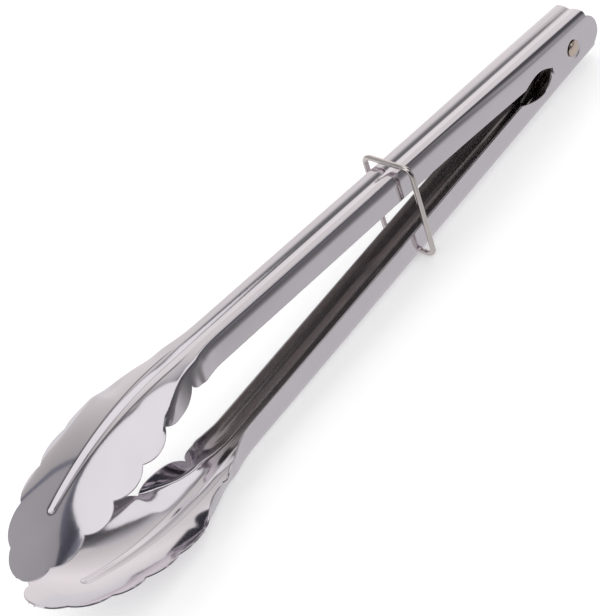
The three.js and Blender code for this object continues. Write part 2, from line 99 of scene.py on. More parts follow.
# Studio: an even white surround, and boards that only the polished steel mirrors: a pale wall on the far
# side, the dark gap that runs over it, dark boards on the near side and a floor that darkens outward.
world = bpy.data.worlds.new("studio")
world.use_nodes = True
world.node_tree.nodes["Background"].inputs["Color"].default_value = (1, 1, 1, 1)
world.node_tree.nodes["Background"].inputs["Strength"].default_value = 1
bpy.context.scene.world = world


def mix(a, b, t):
    """The value a share t of the way from a to b."""
    return a + (b - a) * t


def mirrored_board(name, rows, greys, tint=(1, 1, 1)):
    """A board over rows of points, with a glow graded from point to point, that only the steel shows."""
    high, wide = len(rows), len(rows[0])
    faces = [(r * wide + c, r * wide + c + 1, r * wide + c + wide + 1, r * wide + c + wide)
             for r in range(high - 1) for c in range(wide - 1)]
    piece = shown_mesh(name, [point for row in rows for point in row], faces)
    shades = piece.data.color_attributes.new("shade", "FLOAT_COLOR", "POINT")
    for k, grey in enumerate(grey for row in greys for grey in row):
        shades.data[k].color = (*(grey * t for t in tint), 1)
    paint = bpy.data.materials.new(name)
    paint.use_nodes = True
    nodes, links = paint.node_tree.nodes, paint.node_tree.links
    nodes.remove(nodes["Principled BSDF"])
    shade = nodes.new("ShaderNodeAttribute")
    shade.attribute_name = "shade"
    glow = nodes.new("ShaderNodeEmission")
    links.new(shade.outputs["Color"], glow.inputs["Color"])
    links.new(glow.outputs[0], nodes["Material Output"].inputs["Surface"])
    piece.data.materials.append(paint)
    piece.visible_camera = False
    piece.visible_diffuse = False
    piece.visible_shadow = False
    piece.visible_transmission = False
    return piece


BOARD_STEPS = 6
BOARD_ROWS = 9


def studio_board(name, distance, stations, tint=(1, 1, 1)):
    """A curved board round the table. Each station: direction, low and high edge in degrees, grey at both."""
    given = np.array(stations, float)
    between = np.linspace(0, len(given) - 1, BOARD_STEPS * (len(given) - 1) + 1)
    turn, low, high, grey_low, grey_high = (np.interp(between, range(len(given)), column) for column in given.T)
    rows, greys = [], []
    for share in np.linspace(0, 1, BOARD_ROWS):
        rise, turned = np.radians(mix(low, high, share)), np.radians(turn)
        flat = np.cos(rise)
        rows.append(distance * np.stack([flat * np.cos(turned), flat * np.sin(turned), np.sin(rise)], -1))
        greys.append(mix(grey_low, grey_high, share))
    return mirrored_board(name, np.array(rows).tolist(), np.array(greys).tolist(), tint)


COOL = (0.9, 0.93, 1.12)
WARM = (1.02, 1, 0.97)
SHADY = (0.97, 0.97, 1.05)
WALL_DISTANCE = 2.6
SEAM_DISTANCE = 2.55
GAP_DISTANCE = 2.5
NEAR_DISTANCE = 2.4
GLIMPSE_DISTANCE = 2.3
FLOOR_HEIGHT = 0.0002

studio_board("far_wall_low", WALL_DISTANCE, [
    (-182, -2, 14, 0.9, 0.98), (-160, -2, 14, 0.9, 1), (-145, -2, 14, 0.88, 1), (-130, -2, 14, 0.88, 1),
    (-112, -2, 14, 0.78, 0.86), (-97, -2, 14, 0.6, 0.54), (-87, -2, 14, 0.48, 0.45)], WARM)
studio_board("far_wall_high", WALL_DISTANCE, [
    (-182, 14, 37, 0.98, 0.85), (-160, 14, 38, 1, 0.62), (-145, 14, 46, 1, 0.6), (-130, 14, 55, 1, 0.62),
    (-112, 14, 59, 0.86, 0.55), (-97, 14, 60, 0.54, 0.52), (-87, 14, 59, 0.45, 0.42)], WARM)
studio_board("wall_seam", SEAM_DISTANCE, [(-87, -2, 59, 0.22, 0.18), (-84, -2, 59, 0.22, 0.18)], COOL)
studio_board("far_wall_right", WALL_DISTANCE, [
    (-84, -2, 59, 0.42, 0.4), (-67, -2, 59, 0.5, 0.36), (-52, -2, 58, 0.52, 0.38), (-25, -2, 58, 0.5, 0.3)])
studio_board("far_gap", GAP_DISTANCE, [
    (-182, 33, 45, 0.1, 0.08), (-174, 34, 46.5, 0.18, 0.08), (-170, 36, 48.2, 0.2, 0.05),
    (-166, 37, 50.2, 0.34, 0.06), (-162, 37.4, 51, 0.54, 0.06), (-158, 38.5, 52.2, 0.62, 0.05),
    (-154, 40.5, 53, 0.62, 0.08), (-150, 42.7, 53.5, 0.62, 0.2), (-146, 45, 54, 0.6, 0.38),
    (-142, 47, 54.5, 0.6, 0.45), (-130, 54, 58, 0.4, 0.3), (-120, 57, 60, 0.12, 0.1)])
studio_board("far_gap_right", GAP_DISTANCE, [
    (-120, 57, 60, 0.12, 0.1), (-90, 58, 60, 0.1, 0.1), (-67, 56.5, 60, 0.2, 0.1), (-52, 54.5, 61.5, 0.2, 0.1),
    (-37, 53, 65, 0.14, 0.06), (-22, 49, 67, 0.06, 0.09), (-7, 57, 66, 0.14, 0.2), (8, 61, 66, 0.2, 0.3)], COOL)
studio_board("camera_side", NEAR_DISTANCE, [(15, -2, 46, 0.05, 0.05), (108, -2, 46, 0.05, 0.05)], COOL)
studio_board("near_side", NEAR_DISTANCE, [
    (117, -2, 50, 0.18, 0.12), (128, -2, 62, 0.17, 0.1), (142, -2, 64, 0.17, 0.08), (158, -2, 62, 0.12, 0.07),
    (165, -2, 56, 0.1, 0.08), (168, -2, 47, 0.1, 0.09), (184, -2, 46, 0.09, 0.08)], SHADY)
studio_board("near_glimpse", GLIMPSE_DISTANCE, [
    (148, 43, 48, 0.16, 0.2), (158, 43, 50, 0.26, 0.3), (168, 43, 50, 0.24, 0.26), (174, 42, 48, 0.12, 0.14)])

# A low board that stands on the near side beyond the pivot, lighter at its foot.
low_rows = [[(x, 0.3, z) for x in (-0.3, -0.37, -1.2)] for z in (0, 0.1, 0.2, 0.3)]
low_greys = [[0.17, 0.4, 0.42], [0.17, 0.3, 0.32], [0.14, 0.19, 0.2], [0.1, 0.1, 0.1]]
mirrored_board("near_left", low_rows, low_greys)

# The floor's grey by its distance to the near side, and how much wider that pattern fans out to the left.
floor_greys = [
    (-3, 0.84), (-0.3, 0.83), (-0.1, 0.76), (0, 0.61), (0.03, 0.59), (0.055, 0.56), (0.068, 0.49), (0.08, 0.41),
    (0.105, 0.28), (0.135, 0.21), (0.175, 0.18), (0.25, 0.15), (0.4, 0.13), (2.6, 0.12)]
floor_fan = [(-2.5, 6), (-0.6, 3.4), (-0.4, 2.4), (-0.25, 1.6), (-0.12, 1), (2.5, 1)]
floor_rows = [[(x, y * wider if y > 0 else y, FLOOR_HEIGHT) for x, wider in floor_fan]
              for y, grey in floor_greys]
mirrored_board("mirrored_floor", floor_rows, [[grey] * len(floor_fan) for y, grey in floor_greys])


# Arms: each is one pressing of thin bright stainless sheet. From round ears it runs as a channel with a
# groove along its back, and spreads over the neck into a dished claw with a scalloped edge.
# Lengths are in millimetres from the pivot's axis, along the back and across the sheet.
SHEET = 0.9
RUNNING_GAP = 0.3
OPEN_ANGLE = math.radians(8.8)
REST_TILT = 0.018709
EAR_ROOM = 0.4
PIVOT = (-180.4290, 0.0, 19.0478)
CHANNEL_WIDTH = 16.0
BACK_HEIGHT = 13.7
CORNER_RADIUS = 1.3
SHOULDER_RADIUS = 7.6
EDGE_HEIGHT = 0.4
GROOVE_HALF = 3.5
GROOVE_DEPTH = 0.8
WALL_END = 272.0
CLAW_START = 282.0
CLAW_LENGTH = 107.4
CLAW_HALF = 25.5
BEND_START = 286.0
BEND_RADIUS = 143.0
BEND_ANGLE = 0.63
DISH_RADIUS = 50.0
BEAD_HALF = 4.2
BEAD_END_HALF = 2.0
BEAD_END = 361.5
FLARE_START = 20.0
FLARE_END = 110.0
SEAT_DEPTH = 0.9
SEAT_FLOOR_RADIUS = 4.3
SEAT_RIM_RADIUS = 6.4
BORE_RADIUS = 2.7
BORE_REACH = 12.0
BORE_SIDES = 48
EDGE_ROUND = 0.25
# Where the inside's painted shade and its rougher rolled finish give way to polish, along the back.
POLISH_AND_SHADE_START = 262.0
POLISH_AND_SHADE_END = 285.0

# The claw's outline and section by place. Places are shares of the claw's length from the neck, widths and
# drifts are shares of half its width, curves are shares of the dish's, arcs and turns are quarter turns.
NOTCH_PLACES = (0, 0.233, 0.41, 0.588, 0.749, 0.913)
NOTCH_HALVES = (0.62, 0.805, 0.911, 0.847, 0.731, 0.443)
LOBE_BULGES = (0.22, 0.2, 0.193, 0.243, 0.195)
FORM_PLACES = (-0.25, -0.186, -0.112, -0.06, 0, 0.056, 0.121, 0.186, 0.251, 0.41, 0.587, 0.754, 1)
BACK_CURVES = (0, 0, 0.15, 0.647, 1.037, 1.036, 1.226, 1.326, 1.064, 1.079, 1.028, 0.746, 0.41)
RIM_CURVES = (0, 0, 0.04, 0.206, 0.442, 0.675, 0.718, 0.728, 0.551, 0.542, 1.035, 1.543, 1.89)
FOLD_DRIFTS = (0, 0.006, 0.04, 0.087, 0.117, 0.188, 0.308, 0.451, 0.551, 0.474, 0.349, 0.241, 0.123)
FOLD_ARCS = (0.667, 0.7, 1.0, 1.474, 1.389, 1.449, 1.735, 1.9, 1.958, 1.958, 1.958, 1.958, 1.958)
FOLD_TURNS = (0.667, 0.672, 0.71, 0.772, 0.601, 0.61, 0.623, 0.565, 0.253, 0.045, 0, 0, 0)
SHOULDER_TURNS = (0.333, 0.325, 0.2, 0, 0, 0, 0, 0, 0, 0, 0, 0, 0)
GROOVE_SECTION = 0.3
FOLD_SECTION = (0.55, 0.8)
SHOULDER_SECTION = 0.86
BEAD_CHANGE = 0.186
BEAD_CREST = 0.4
BEAD_CREST_RISE = 0.677
FOOT_BAND = 0.35
# A painted shade line along the bead's foot: how soon it starts before the claw, its place and width by the
# foot, and how strong it is inside.
CREASE_CHANGE = 0.1
CREASE_PLACE = 0.05
CREASE_WIDTH = 0.3
CREASE_INSIDE = 0.3
SEAT_SOFTNESS = 0.3
EAR_POWER = 2.5
NECK_POWER = 2.2

# The mesh's rows and columns, and how far in from an edge the rounding is looked for.
GROOVE_STEPS = 9
FOOT_STEPS = 9
PANEL_STEPS = 12
FOLD_STEPS = 12
SHOULDER_STEPS = 10
WALL_STEPS = 18
NECK_STEPS = 22
ARCH_STEPS = 14
LOBE_STEPS = 16
BEAD_END_STEPS = 10
TIP_STEPS = 14
EDGE_ROWS = 4
EDGE_COLUMNS = 6
EDGE_SAMPLES = 8
EDGE_LIP = 0.28
BUNCHING = 0.6

# What differs between the arms: how far the walls flare at the pivot, where the back stops, the ear's radius,
# drop and centre, the keyhole's start, end, rise and lean, and the bead's depth in the claw.
OUTER_ARM = dict(flare=SHEET + RUNNING_GAP + EAR_ROOM, back_end=12.6, ear=12.0, drop=8.6, centre=8.2,
                 start=18.4, end=40.5, rise=3.6, arch=1.0, bead=1.0)
INNER_ARM = dict(flare=0.0, back_end=18.0, ear=8.0, drop=8.0, centre=10.3,
                 start=17.4, end=44.0, rise=6.6, arch=0.69, bead=0.45)


def ease(t):
    """A soft step from 0 to 1."""
    c = np.clip(t, 0, 1)
    return c * c * (3 - 2 * c)


def along(places, values, place):
    """A smooth curve through the rows of a table, so that the polished sheet shows no crease."""
    x, y = np.array(places, float), np.array(values, float)
    rise = np.diff(y) / np.diff(x)
    slope = np.zeros(len(y))
    product = rise[:-1] * rise[1:]
    slope[1:-1] = np.where(product > 0, 2 * product / np.where(product > 0, rise[:-1] + rise[1:], 1), 0)
    place = np.clip(place, x[0], x[-1])
    i = np.clip(np.searchsorted(x, place, side="right") - 1, 0, len(x) - 2)
    step = x[i + 1] - x[i]
    t = (place - x[i]) / step
    return ((2 * t**3 - 3 * t**2 + 1) * y[i] + (t**3 - 2 * t**2 + t) * step * slope[i]
            + (3 * t**2 - 2 * t**3) * y[i + 1] + (t**3 - t**2) * step * slope[i + 1])


def claw_share(s):
    """How far along the claw a place lies, from 0 at the neck to 1 at the tip."""
    return (s - CLAW_START) / CLAW_LENGTH


def flare_at(s, arm):
    """The outer arm's walls flare at the pivot to take the inner arm between them."""
    return arm["flare"] * (1 - ease((s - FLARE_START) / (FLARE_END - FLARE_START)))


notch_s = CLAW_START + np.array(NOTCH_PLACES) * CLAW_LENGTH
notch_half = np.array(NOTCH_HALVES) * CLAW_HALF
CLAW_TIP = CLAW_START + CLAW_LENGTH
tip_reach = CLAW_TIP - notch_s[-1]
tip_radius = (notch_half[-1] ** 2 + tip_reach ** 2) / (2 * tip_reach)


def lobe_half(s):
    """Half the claw's width between two notches, a round lobe."""
    i = np.clip(np.searchsorted(notch_s, s, side="left") - 1, 0, len(notch_s) - 2)
    s0, s1, h0, h1 = notch_s[i], notch_s[i + 1], notch_half[i], notch_half[i + 1]
    length = np.hypot(s1 - s0, h1 - h0)
    bulge = np.array(LOBE_BULGES)[i] * length
    radius = (length ** 2 / 4 + bulge ** 2) / (2 * bulge)
    inward = radius - bulge
    centre_s = (s0 + s1) / 2 + inward * (h1 - h0) / length
    centre_half = (h0 + h1) / 2 - inward * (s1 - s0) / length
    return centre_half + np.sqrt(np.maximum(0, radius ** 2 - (s - centre_s) ** 2))


def free_edge(s, arm):
    """Height of the walls' free edge over the pivot line: ear, keyhole arch, then straight."""
    t = np.clip(s, 0, arm["start"]) / arm["start"]
    ear = -arm["drop"] * (1 - t ** EAR_POWER) ** (1 / EAR_POWER)
    t = np.clip((s - arm["start"]) / (arm["end"] - arm["start"]), 0, 1)
    arch = EDGE_HEIGHT * t + arm["rise"] * np.sin(math.pi * t ** arm["arch"])
    return np.where(s < arm["start"], ear, arch)


HANDLE_FOLD = math.pi / 2 * FOLD_TURNS[0]
CORNER_ACROSS = mix(SHOULDER_RADIUS, CORNER_RADIUS, math.sin(HANDLE_FOLD))
CORNER_DOWN = mix(CORNER_RADIUS, SHOULDER_RADIUS, math.cos(HANDLE_FOLD))
SHOULDER_LENGTH = SHOULDER_RADIUS * math.pi / 2 * SHOULDER_TURNS[0]
CORNER_START = CHANNEL_WIDTH / 2 - CORNER_ACROSS


def fold_radius(s, arm):
    """Radius of the fold, which grows with the flare, so that the back stays as wide everywhere."""
    return CORNER_RADIUS + flare_at(s, arm) / math.sin(HANDLE_FOLD)


def reach(s, arm):
    """Sheet width from the middle of the back to the edge."""
    radius = fold_radius(s, arm)
    corner = radius * HANDLE_FOLD + SHOULDER_LENGTH
    corner_height = CORNER_DOWN + (radius - CORNER_RADIUS) * (1 - math.cos(HANDLE_FOLD))
    wall = CORNER_START + corner + BACK_HEIGHT - corner_height - free_edge(np.minimum(s, WALL_END), arm)
    t = np.clip((s - WALL_END) / (notch_s[0] - WALL_END), 0, 1)
    neck = mix(notch_half[0], wall, (1 - t ** NECK_POWER) ** (1 / NECK_POWER))
    tip = np.sqrt(np.maximum(0, tip_radius ** 2 - (s - CLAW_TIP + tip_radius) ** 2))
    claw = np.where(s <= notch_s[-1], lobe_half(s), tip)
    return np.where(s <= WALL_END, wall, np.where(s <= notch_s[0], neck, claw))


def fold_span(s, arm):
    """Where the fold between back and wall starts, and its length across the sheet."""
    drift = along(FORM_PLACES, FOLD_DRIFTS, claw_share(s)) * CLAW_HALF
    arc = along(FORM_PLACES, FOLD_ARCS, claw_share(s)) * fold_radius(s, arm) * math.pi / 2
    return CORNER_START + drift, arc


def groove_width(s):
    """Half the groove's width: even along the handle, wider at the claw, and tapering to the bead's end."""
    widening = ease(1 + claw_share(s) / BEAD_CHANGE)
    tapering = ease((s - CLAW_START) / (BEAD_END - CLAW_START))
    return mix(GROOVE_HALF, mix(BEAD_HALF, BEAD_END_HALF, tapering), widening)


def foot_distance(s, away):
    """How far a place lies outside the foot of the groove, whose end is round."""
    return np.hypot(away, np.maximum(0, s - BEAD_END + BEAD_END_HALF)) - groove_width(s)


def groove_at(s, away, arm):
    """Depth of the pressed groove: soft along the handle, a bead with straight flanks in the claw."""
    inward = np.maximum(0, -foot_distance(s, away) / groove_width(s))
    claw = ease(1 + claw_share(s) / BEAD_CHANGE)
    flanks = (np.sqrt(inward ** 2 + BEAD_CREST ** 2) - BEAD_CREST) / BEAD_CREST_RISE
    profile = mix(inward ** 2 * (2 - inward), flanks, claw)
    return mix(GROOVE_DEPTH, arm["bead"], claw) * profile


def bend_along(y, z, turn, length, curve):
    """Moves on along a section by a stretch of steady curvature."""
    curve = np.where(np.abs(curve) < 1e-9, 1e-9, curve)
    new = turn + curve * length
    return y + (np.sin(new) - np.sin(turn)) / curve, z + (np.cos(new) - np.cos(turn)) / curve, new


def spine(s):
    """The middle line of the back: straight, then an arc inward, then straight to the tip."""
    turn = np.clip((s - BEND_START) / BEND_RADIUS, 0, BEND_ANGLE)
    beyond = np.maximum(0, s - BEND_START - BEND_RADIUS * BEND_ANGLE)
    x = np.minimum(s, BEND_START) + BEND_RADIUS * np.sin(turn) + beyond * np.cos(turn)
    z = BACK_HEIGHT - BEND_RADIUS * (1 - np.cos(turn)) - beyond * np.sin(turn)
    return x, z, turn


def arm_point(s, across, arm):
    """Points of the outside of an arm: s along its back, across the sheet from the middle."""
    share = claw_share(s)
    back = along(FORM_PLACES, BACK_CURVES, share) / DISH_RADIUS
    rim = along(FORM_PLACES, RIM_CURVES, share) / DISH_RADIUS
    fold_turn = math.pi / 2 * along(FORM_PLACES, FOLD_TURNS, share)
    start, arc = fold_span(s, arm)
    away = np.abs(across)
    zero = np.zeros_like(away)
    y, z, turn = bend_along(zero, zero, zero, np.minimum(away, start), back)
    y, z, turn = bend_along(y, z, turn, np.clip(away - start, 0, arc), (back + rim) / 2 + fold_turn / arc)
    beyond = np.maximum(0, away - start - arc)
    shoulder = math.pi / 2 * along(FORM_PLACES, SHOULDER_TURNS, share) / SHOULDER_LENGTH
    y, z, turn = bend_along(y, z, turn, np.minimum(beyond, SHOULDER_LENGTH), rim + shoulder)
    y, z, turn = bend_along(y, z, turn, np.maximum(0, beyond - SHOULDER_LENGTH), rim)
    x0, z0, tilt = spine(s)
    depth = z - groove_at(s, away, arm)
    return np.stack([x0 + depth * np.sin(tilt), np.sign(across) * y, z0 + depth * np.cos(tilt)], -1)


def columns(s, half, arm):
    """Places across a section from edge to edge: groove, panel, fold and wall, close at the rounded edge."""
    start, arc = fold_span(s, arm)
    groove = np.minimum(groove_width(s), GROOVE_SECTION * half)
    end = np.minimum(start + arc, FOLD_SECTION[1] * half)
    start = np.minimum(start, FOLD_SECTION[0] * half)
    places = [np.zeros_like(s)]
    foot = np.minimum(FOOT_BAND, (start - groove) / 4)
    low, high = groove - 2 * foot, groove + foot
    for a, b, count in ((0 * s, low, GROOVE_STEPS), (low, high, FOOT_STEPS), (high, start, PANEL_STEPS),
                        (start, end, FOLD_STEPS)):
        places += [mix(a, b, k / count) for k in range(1, count + 1)]
    shoulder = np.minimum(end + SHOULDER_LENGTH, SHOULDER_SECTION * half)
    places += [mix(end, shoulder, k / SHOULDER_STEPS) for k in range(1, SHOULDER_STEPS + 1)]
    for k in range(1, WALL_STEPS + 1):
        even = k / WALL_STEPS
        places.append(mix(shoulder, half - EDGE_ROUND, mix(even, math.sin(even * math.pi / 2), BUNCHING)))
    places += [half - EDGE_LIP * EDGE_ROUND, half]
    right = np.stack(places, -1)
    return np.concatenate([-right[:, :0:-1], right], 1)


def arm_grid(arm):
    """Rows along an arm and columns across it: the places along the back and across the sheet."""
    # Each span: from, to and number of rows, over the seat, the ear, the keyhole, the flare and the handle.
    spans = ((0, 7.5, 15), (7.5, arm["start"] - 2, 10), (arm["start"], arm["end"], 26),
             (arm["end"], FLARE_END, 22), (FLARE_END, 258, 30), (258, WALL_END, 16))
    stations = np.concatenate([np.linspace(a, b, count, endpoint=False) for a, b, count in spans])
    closing = np.linspace(0, 1, NECK_STEPS, endpoint=False)
    neck = mix(WALL_END, CLAW_START, mix(closing, 1 - (1 - closing) ** 3, BUNCHING))
    bunched = arm["start"] - 2 * (1 - np.linspace(0, 1, ARCH_STEPS, endpoint=False)) ** 2
    even = np.linspace(0, 1, LOBE_STEPS, endpoint=False)
    lobes = [mix(a, b, mix(even, (1 - np.cos(even * math.pi)) / 2, 0.5)) for a, b in zip(notch_s, notch_s[1:])]
    bead_end = BEAD_END - BEAD_END_HALF * np.linspace(0, 1, BEAD_END_STEPS)
    tip_angle = math.asin(notch_half[-1] / tip_radius) * np.linspace(1, 0.1, TIP_STEPS)
    tip = CLAW_TIP - tip_radius * (1 - np.cos(tip_angle))
    front = np.unique(np.concatenate([stations, neck, bunched, *lobes, bead_end, tip]).round(4))
    half = reach(front, arm)
    across = columns(front, half, arm)

    zero = np.zeros(1)
    half_rear = reach(zero, arm)
    across_rear = columns(zero, half_rear, arm)
    height = arm_point(0 * across_rear, across_rear, arm)[0, :, 2]
    limit = math.sqrt(arm["ear"] ** 2 - (arm["back_end"] - arm["centre"]) ** 2)
    off = height / np.where(height > 0, arm["ear"], arm["drop"])
    round_end = -arm["centre"] - arm["ear"] * np.sqrt(np.maximum(0, 1 - off ** 2))
    outline = np.where(height > limit, -arm["back_end"], round_end)
    # Behind the pivot: shares of the way in from the round end, closest at the end for its rounded edge.
    rows = 1 - np.concatenate([[0, 0.0033, 0.0117, 0.04], np.linspace(0.08, 0.62, 12),
                               np.linspace(0.65, 1, 18, endpoint=False)])
    s = np.concatenate([outline * rows[:, None], np.repeat(front[:, None], across.shape[1], 1)])
    across = np.concatenate([np.repeat(across_rear, len(rows), 0), across])
    return s, across


def seat_dip(points):
    """How deep the dished seat round the rivet is pressed into the ears."""
    radius = np.hypot(points[..., 0], points[..., 2])
    slope = SEAT_RIM_RADIUS - SEAT_FLOOR_RADIUS + 2 * SEAT_SOFTNESS
    return SEAT_DEPTH * ease((SEAT_RIM_RADIUS + SEAT_SOFTNESS - radius) / slope)


def arm_piece(name, arm, upper):
    """The pressed sheet as a closed shell with rounded edges, placed in the frame."""
    s, across = arm_grid(arm)
    outside = arm_point(s, across, arm)
    normal = np.cross(np.gradient(outside, axis=0), np.gradient(outside, axis=1))
    normal /= np.linalg.norm(normal, axis=2, keepdims=True)
    edge = np.concatenate([outside[0], outside[:, -1], outside[-1, ::-1], outside[::-1, 0]])
    closer = np.concatenate([mix(edge, np.roll(edge, -1, 0), k / EDGE_SAMPLES) for k in range(EDGE_SAMPLES)])
    tree = KDTree(len(closer))
    for k, point in enumerate(closer):
        tree.insert(point, k)
    tree.balance()
    near_edge = np.ones(s.shape)
    for i in range(s.shape[0]):
        whole_row = i < EDGE_ROWS or i >= s.shape[0] - EDGE_ROWS
        sides = [*range(EDGE_COLUMNS), *range(s.shape[1] - EDGE_COLUMNS, s.shape[1])]
        for j in range(s.shape[1]) if whole_row else sides:
            near_edge[i, j] = tree.find(outside[i, j])[2]
    rounding = EDGE_ROUND - np.sqrt(EDGE_ROUND ** 2 - np.clip(EDGE_ROUND - near_edge, 0, EDGE_ROUND) ** 2)
    seat = seat_dip(outside) * np.sign(across)
    sideways = np.stack([0 * seat, seat, 0 * seat], -1)
    inside = outside - normal * (SHEET - rounding)[..., None] - sideways
    outside = outside - normal * rounding[..., None] - sideways

    rows, cols = s.shape
    index = np.arange(rows * cols).reshape(rows, cols)
    inner = rows * cols
    a, b, c, d = index[:-1, :-1], index[1:, :-1], index[1:, 1:], index[:-1, 1:]
    faces = [np.stack([a, b, c, d], -1), np.stack([a, d, c, b], -1) + inner]
    rim = np.concatenate([index[:-1, 0], index[-1, :-1], index[:0:-1, -1], index[0, :0:-1]])
    ahead = np.roll(rim, -1)
    faces.append(np.stack([rim, rim + inner, ahead + inner, ahead], -1))
    faces = np.concatenate([f.reshape(-1, 4) for f in faces])

    # The upper arm is turned open about the rivet, and the lower one is turned over to face it.
    p = np.concatenate([outside.reshape(-1, 3), inside.reshape(-1, 3)])
    if upper:
        cosine, sine = math.cos(OPEN_ANGLE), math.sin(OPEN_ANGLE)
        p = np.stack([p[:, 0] * cosine - p[:, 2] * sine, p[:, 1], p[:, 0] * sine + p[:, 2] * cosine], -1)
    else:
        p = p * np.array([1, -1, -1])
    piece = shown_mesh(name, in_frame(p), faces.tolist())
    piece.data.shade_smooth()
    # The crease mask is painted shade: a dark line along the bead's foot, fainter on the inside.
    from_foot = (foot_distance(s, np.abs(across)) - CREASE_PLACE) / CREASE_WIDTH
    crease = ease(1 + claw_share(s) / CREASE_CHANGE) * np.exp(-from_foot ** 2)
    crease = np.where(s < BEAD_END + 1, crease, 0).ravel()
    # Painted shade: up to the neck the inside is drawn darker than the outside, and rougher.
    polish_and_shade = ease((s.ravel() - POLISH_AND_SHADE_START) / (POLISH_AND_SHADE_END - POLISH_AND_SHADE_START))
    for mask, values in (("crease", (crease, CREASE_INSIDE * crease)), ("polish_and_shade", (np.ones(s.size), polish_and_shade))):
        written = piece.data.attributes.new(mask, "FLOAT", "POINT")
        written.data.foreach_set("value", np.concatenate(values))
    return piece


def in_frame(points):
    """From the pivot's own axes, in millimetres, to the row frame, in metres."""
    p = np.array(points, float)
    cosine, sine = math.cos(REST_TILT), math.sin(REST_TILT)
    turned = np.stack([p[:, 0] * cosine + p[:, 2] * sine, p[:, 1], -p[:, 0] * sine + p[:, 2] * cosine], -1)
    return (turned + np.array(PIVOT)) * 0.001


def worked_steel():
    """Shader group: fine grain along the arms and cloudy wiping marks, as masks, roughness and normal."""
    group = bpy.data.node_groups.new("worked_steel", "ShaderNodeTree")
    face = group.interface
    for socket, value in (("Grain Across", 2600.0), ("Grain Along", 60.0), ("Cloud Scale", 38.0),
                          ("Gloss", 0.12), ("Gloss Spread", 0.06), ("Grain Bump", 0.02)):
        face.new_socket(socket, in_out="INPUT", socket_type="NodeSocketFloat").default_value = value
    for socket in ("Clouds", "Grain", "Roughness"):
        face.new_socket(socket, in_out="OUTPUT", socket_type="NodeSocketFloat")
    face.new_socket("Normal", in_out="OUTPUT", socket_type="NodeSocketVector")
    nodes, links = group.nodes, group.links
    given, put = nodes.new("NodeGroupInput"), nodes.new("NodeGroupOutput")
    place = nodes.new("ShaderNodeTexCoord")

    stretch = nodes.new("ShaderNodeCombineXYZ")
    links.new(given.outputs["Grain Along"], stretch.inputs["X"])
    links.new(given.outputs["Grain Across"], stretch.inputs["Y"])
    links.new(given.outputs["Grain Across"], stretch.inputs["Z"])
    stretched = nodes.new("ShaderNodeVectorMath")
    stretched.operation = "MULTIPLY"
    links.new(place.outputs["Object"], stretched.inputs[0])
    links.new(stretch.outputs[0], stretched.inputs[1])
    grain = nodes.new("ShaderNodeTexNoise")
    grain.inputs["Scale"].default_value = 1
    grain.inputs["Detail"].default_value = 3
    links.new(stretched.outputs[0], grain.inputs["Vector"])

    clouds = nodes.new("ShaderNodeTexNoise")
    clouds.inputs["Detail"].default_value = 4
    clouds.inputs["Distortion"].default_value = 0.6
    links.new(place.outputs["Object"], clouds.inputs["Vector"])
    links.new(given.outputs["Cloud Scale"], clouds.inputs["Scale"])

    both = nodes.new("ShaderNodeMath")
    both.operation = "ADD"
    links.new(grain.outputs["Fac"], both.inputs[0])
    links.new(clouds.outputs["Fac"], both.inputs[1])
    spread = nodes.new("ShaderNodeMath")
    spread.operation = "MULTIPLY_ADD"
    links.new(both.outputs[0], spread.inputs[0])
    links.new(given.outputs["Gloss Spread"], spread.inputs[1])
    links.new(given.outputs["Gloss"], spread.inputs[2])
    bump = nodes.new("ShaderNodeBump")
    bump.inputs["Distance"].default_value = 0.0001
    links.new(given.outputs["Grain Bump"], bump.inputs["Strength"])
    links.new(grain.outputs["Fac"], bump.inputs["Height"])
    links.new(clouds.outputs["Fac"], put.inputs["Clouds"])
    links.new(grain.outputs["Fac"], put.inputs["Grain"])
    links.new(spread.outputs[0], put.inputs["Roughness"])
    links.new(bump.outputs[0], put.inputs["Normal"])
    return group


steel_group = worked_steel()


def blended(finish, mask, low, high):
    """A colour that goes from low to high with a mask. Each end is a tone or another node's socket."""
    blend = finish.node_tree.nodes.new("ShaderNodeMix")
    blend.data_type = "RGBA"
    finish.node_tree.links.new(mask, blend.inputs["Factor"])
    for end, given in (("A", low), ("B", high)):
        if isinstance(given, tuple):
            blend.inputs[end].default_value = (*given, 1)
        else:
            finish.node_tree.links.new(given, blend.inputs[end])
    return blend.outputs["Result"]


def steel(name, pale, dark, **settings):
    """A metal material from the steel group, with its own two tones."""
    finish = bpy.data.materials.new(name)
    finish.use_nodes = True
    nodes, links = finish.node_tree.nodes, finish.node_tree.links
    shader = nodes["Principled BSDF"]
    shader.inputs["Metallic"].default_value = 1
    worked = nodes.new("ShaderNodeGroup")
    worked.node_tree = steel_group
    for socket, value in settings.items():
        worked.inputs[socket.replace("_", " ")].default_value = value
    links.new(blended(finish, worked.outputs["Clouds"], dark, pale), shader.inputs["Base Color"])
    links.new(worked.outputs["Roughness"], shader.inputs["Roughness"])
    links.new(worked.outputs["Normal"], shader.inputs["Normal"])
    return finish


def mesh_mask(finish, name):
    """A mask that the sheet's mesh carries as an attribute."""
    mask = finish.node_tree.nodes.new("ShaderNodeAttribute")
    mask.attribute_name = name
    return mask.outputs["Fac"]


